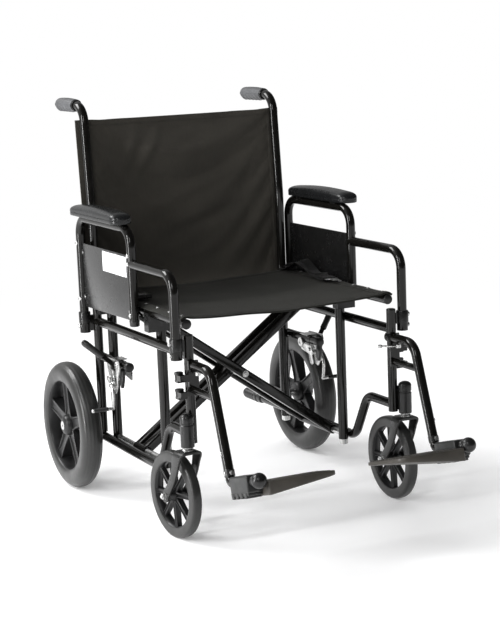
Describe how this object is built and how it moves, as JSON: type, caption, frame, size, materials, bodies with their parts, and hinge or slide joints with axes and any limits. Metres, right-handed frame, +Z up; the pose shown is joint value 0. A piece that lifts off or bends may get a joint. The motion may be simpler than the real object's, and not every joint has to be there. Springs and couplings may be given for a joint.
{
  "type": "folding transit wheelchair",
  "caption": "Folding attendant-pushed wheelchair with a cross-braced tube frame, fabric seat and back, lift-off desk arms and swing-away legrests.",
  "frame": {"origin": "on the floor under the middle of the chair's overall box", "axes": "+Z up, the chair faces -Y, +X is the occupant's left"},
  "size_m": [0.71, 1.125, 0.97],
  "materials": {
    "frame_paint": "gloss black powder coat",
    "moulded_black": "satin moulded nylon",
    "guard_panel": "dark satin grey panel",
    "grip_rubber": "moulded grey grip",
    "tyre_rubber": "solid dark grey rubber",
    "rim_plastic": "moulded composite",
    "zinc_steel": "zinc plated",
    "nylon_fabric": "woven black nylon",
    "belt_webbing": "black webbing",
    "arm_vinyl": "self-skinned black pad"
  },
  "bodies": {
    "left_frame": {"left_back_cane": "frame_paint", "left_push_grip": "grip_rubber", "left_lower_rail": "frame_paint", "left_tipping_grip": "grip_rubber", "left_side_tubes": "frame_paint", "left_rail_saddles": "moulded_black", "left_frame_bolts": "zinc_steel", "left_brake_clamp": "zinc_steel", "left_caster_housing": "moulded_black", "back_sling": "nylon_fabric"},
    "right_frame": {"right_back_cane": "frame_paint", "right_push_grip": "grip_rubber", "right_lower_rail": "frame_paint", "right_tipping_grip": "grip_rubber", "right_side_tubes": "frame_paint", "right_rail_saddles": "moulded_black", "right_frame_bolts": "zinc_steel", "right_brake_clamp": "zinc_steel", "right_caster_housing": "moulded_black"},
    "crossbar_a": {"crossbar_a": "frame_paint", "cross_pivot_bolts": "zinc_steel", "right_seat_rail": "frame_paint", "right_belt": "belt_webbing", "seat_sling": "nylon_fabric"},
    "crossbar_b": {"crossbar_b": "frame_paint", "left_seat_rail": "frame_paint", "left_belt": "belt_webbing"},
    "left_rear_wheel": {"left_rear_tyre": "tyre_rubber", "left_rear_rim": "rim_plastic"},
    "left_caster_fork": {"left_caster_fork": "frame_paint", "left_caster_axle": "zinc_steel"},
    "left_caster_wheel": {"left_caster_tyre": "tyre_rubber", "left_caster_rim": "rim_plastic"},
    "left_armrest": {"left_arm_tube": "frame_paint", "left_arm_pad": "arm_vinyl", "left_skirt_guard": "guard_panel"},
    "left_arm_lock": {"left_arm_lock_button": "zinc_steel"},
    "left_legrest": {"left_hanger": "frame_paint"},
    "left_leg_latch": {"left_hanger_latch": "zinc_steel"},
    "left_footrest": {"left_footrest_tube": "frame_paint"},
    "left_footplate": {"left_footplate": "moulded_black"},
    "left_brake_lever": {"left_brake_lever": "zinc_steel"},
    "left_brake_shoe": {"left_brake_shoe_arm": "zinc_steel"},
    "right_rear_wheel": {"right_rear_tyre": "tyre_rubber", "right_rear_rim": "rim_plastic"},
    "right_caster_fork": {"right_caster_fork": "frame_paint", "right_caster_axle": "zinc_steel"},
    "right_caster_wheel": {"right_caster_tyre": "tyre_rubber", "right_caster_rim": "rim_plastic"},
    "right_armrest": {"right_arm_tube": "frame_paint", "right_arm_pad": "arm_vinyl", "right_skirt_guard": "guard_panel"},
    "right_arm_lock": {"right_arm_lock_button": "zinc_steel"},
    "right_legrest": {"right_hanger": "frame_paint"},
    "right_leg_latch": {"right_hanger_latch": "zinc_steel"},
    "right_footrest": {"right_footrest_tube": "frame_paint"},
    "right_footplate": {"right_footplate": "moulded_black"},
    "right_brake_lever": {"right_brake_lever": "zinc_steel"},
    "right_brake_shoe": {"right_brake_shoe_arm": "zinc_steel"}
  },
  "joints": [
    {"name": "fold", "type": "hinge", "parent": "left_frame", "child": "crossbar_a", "pos_m": [0.237, 0.0775, 0.132], "axis": [0, 1, 0], "range_deg": [0, 44], "deforming": ["seat_sling", "back_sling", "left_belt", "right_belt"]},
    {"name": "fold_centre", "type": "hinge", "parent": "crossbar_a", "child": "crossbar_b", "pos_m": [0, 0.0775, 0.30317], "axis": [0, -1, 0], "range_deg": [0, 88]},
    {"name": "fold_far_side", "type": "hinge", "parent": "crossbar_b", "child": "right_frame", "pos_m": [-0.237, 0.0775, 0.132], "axis": [0, 1, 0], "range_deg": [0, 44]},
    {"name": "left_wheel_spin", "type": "hinge", "parent": "left_frame", "child": "left_rear_wheel", "pos_m": [0.328, 0.3625, 0.159], "axis": [1, 0, 0], "continuous": true},
    {"name": "left_caster_swivel", "type": "hinge", "parent": "left_frame", "child": "left_caster_fork", "pos_m": [0.281, -0.2445, 0.25], "axis": [0, 0, 1], "continuous": true},
    {"name": "left_caster_spin", "type": "hinge", "parent": "left_caster_fork", "child": "left_caster_wheel", "pos_m": [0.281, -0.1805, 0.1], "axis": [1, 0, 0], "continuous": true},
    {"name": "left_arm_lift", "type": "slide", "parent": "left_frame", "child": "left_armrest", "axis": [0, 0, 1], "range_m": [0, 0.08]},
    {"name": "left_arm_lock_pull", "type": "slide", "parent": "left_frame", "child": "left_arm_lock", "axis": [1, 0, 0], "range_m": [0, 0.005], "stiffness_N_per_m": 400, "springref_m": -0.004},
    {"name": "left_legrest_swing", "type": "hinge", "parent": "left_frame", "child": "left_legrest", "pos_m": [0.2835, -0.2185, 0.35], "axis": [0, 0, 1], "range_deg": [0, 100]},
    {"name": "left_latch_turn", "type": "hinge", "parent": "left_legrest", "child": "left_leg_latch", "pos_m": [0.256, -0.2611, 0.3863], "axis": [0, 0, 1], "range_deg": [0, 25], "stiffness_Nm_per_rad": 0.4, "springref_deg": -11.46},
    {"name": "left_footrest_height", "type": "slide", "parent": "left_legrest", "child": "left_footrest", "axis": [0, 0.3383, 0.9411], "range_m": [-0.08, 0]},
    {"name": "left_footplate_flip", "type": "hinge", "parent": "left_footrest", "child": "left_footplate", "pos_m": [0.257, -0.4109, 0.17277], "axis": [0, 0.9648, -0.263], "range_deg": [0, 90]},
    {"name": "left_brake_lever_push", "type": "hinge", "parent": "left_frame", "child": "left_brake_lever", "pos_m": [0.2815, 0.1775, 0.33], "axis": [1, 0, 0], "range_deg": [0, 55]},
    {"name": "left_brake_shoe_swing", "type": "hinge", "parent": "left_frame", "child": "left_brake_shoe", "pos_m": [0.29, 0.1845, 0.3], "axis": [1, 0, 0], "range_deg": [0, 38]},
    {"name": "right_wheel_spin", "type": "hinge", "parent": "right_frame", "child": "right_rear_wheel", "pos_m": [-0.328, 0.3625, 0.159], "axis": [1, 0, 0], "continuous": true},
    {"name": "right_caster_swivel", "type": "hinge", "parent": "right_frame", "child": "right_caster_fork", "pos_m": [-0.281, -0.2445, 0.25], "axis": [0, 0, 1], "continuous": true},
    {"name": "right_caster_spin", "type": "hinge", "parent": "right_caster_fork", "child": "right_caster_wheel", "pos_m": [-0.28769, -0.18085, 0.1], "axis": [0.9945, 0.1045, 0], "continuous": true},
    {"name": "right_arm_lift", "type": "slide", "parent": "right_frame", "child": "right_armrest", "axis": [0, 0, 1], "range_m": [0, 0.08]},
    {"name": "right_arm_lock_pull", "type": "slide", "parent": "right_frame", "child": "right_arm_lock", "axis": [-1, 0, 0], "range_m": [0, 0.005], "stiffness_N_per_m": 400, "springref_m": -0.004},
    {"name": "right_legrest_swing", "type": "hinge", "parent": "right_frame", "child": "right_legrest", "pos_m": [-0.2835, -0.2185, 0.35], "axis": [0, 0, -1], "range_deg": [0, 100]},
    {"name": "right_latch_turn", "type": "hinge", "parent": "right_legrest", "child": "right_leg_latch", "pos_m": [-0.256, -0.2611, 0.3863], "axis": [0, 0, -1], "range_deg": [0, 25], "stiffness_Nm_per_rad": 0.4, "springref_deg": -11.46},
    {"name": "right_footrest_height", "type": "slide", "parent": "right_legrest", "child": "right_footrest", "axis": [0, 0.3383, 0.9411], "range_m": [-0.08, 0]},
    {"name": "right_footplate_flip", "type": "hinge", "parent": "right_footrest", "child": "right_footplate", "pos_m": [-0.257, -0.4109, 0.17277], "axis": [0, -0.9648, 0.263], "range_deg": [0, 90]},
    {"name": "right_brake_lever_push", "type": "hinge", "parent": "right_frame", "child": "right_brake_lever", "pos_m": [-0.2815, 0.1775, 0.33], "axis": [1, 0, 0], "range_deg": [0, 55]},
    {"name": "right_brake_shoe_swing", "type": "hinge", "parent": "right_frame", "child": "right_brake_shoe", "pos_m": [-0.29, 0.1845, 0.3], "axis": [1, 0, 0], "range_deg": [0, 38]}
  ],
  "couplings": [
    {"joint": "fold_centre", "follows": "fold", "ratio": 2},
    {"joint": "fold_far_side", "follows": "fold", "ratio": 1},
    {"joint": "left_footplate_flip", "follows": "fold", "ratio": 2.044},
    {"joint": "left_brake_shoe_swing", "follows": "left_brake_lever_push", "ratio": 0.69},
    {"joint": "right_footplate_flip", "follows": "fold", "ratio": 2.044},
    {"joint": "right_brake_shoe_swing", "follows": "right_brake_lever_push", "ratio": 0.69}
  ]
}
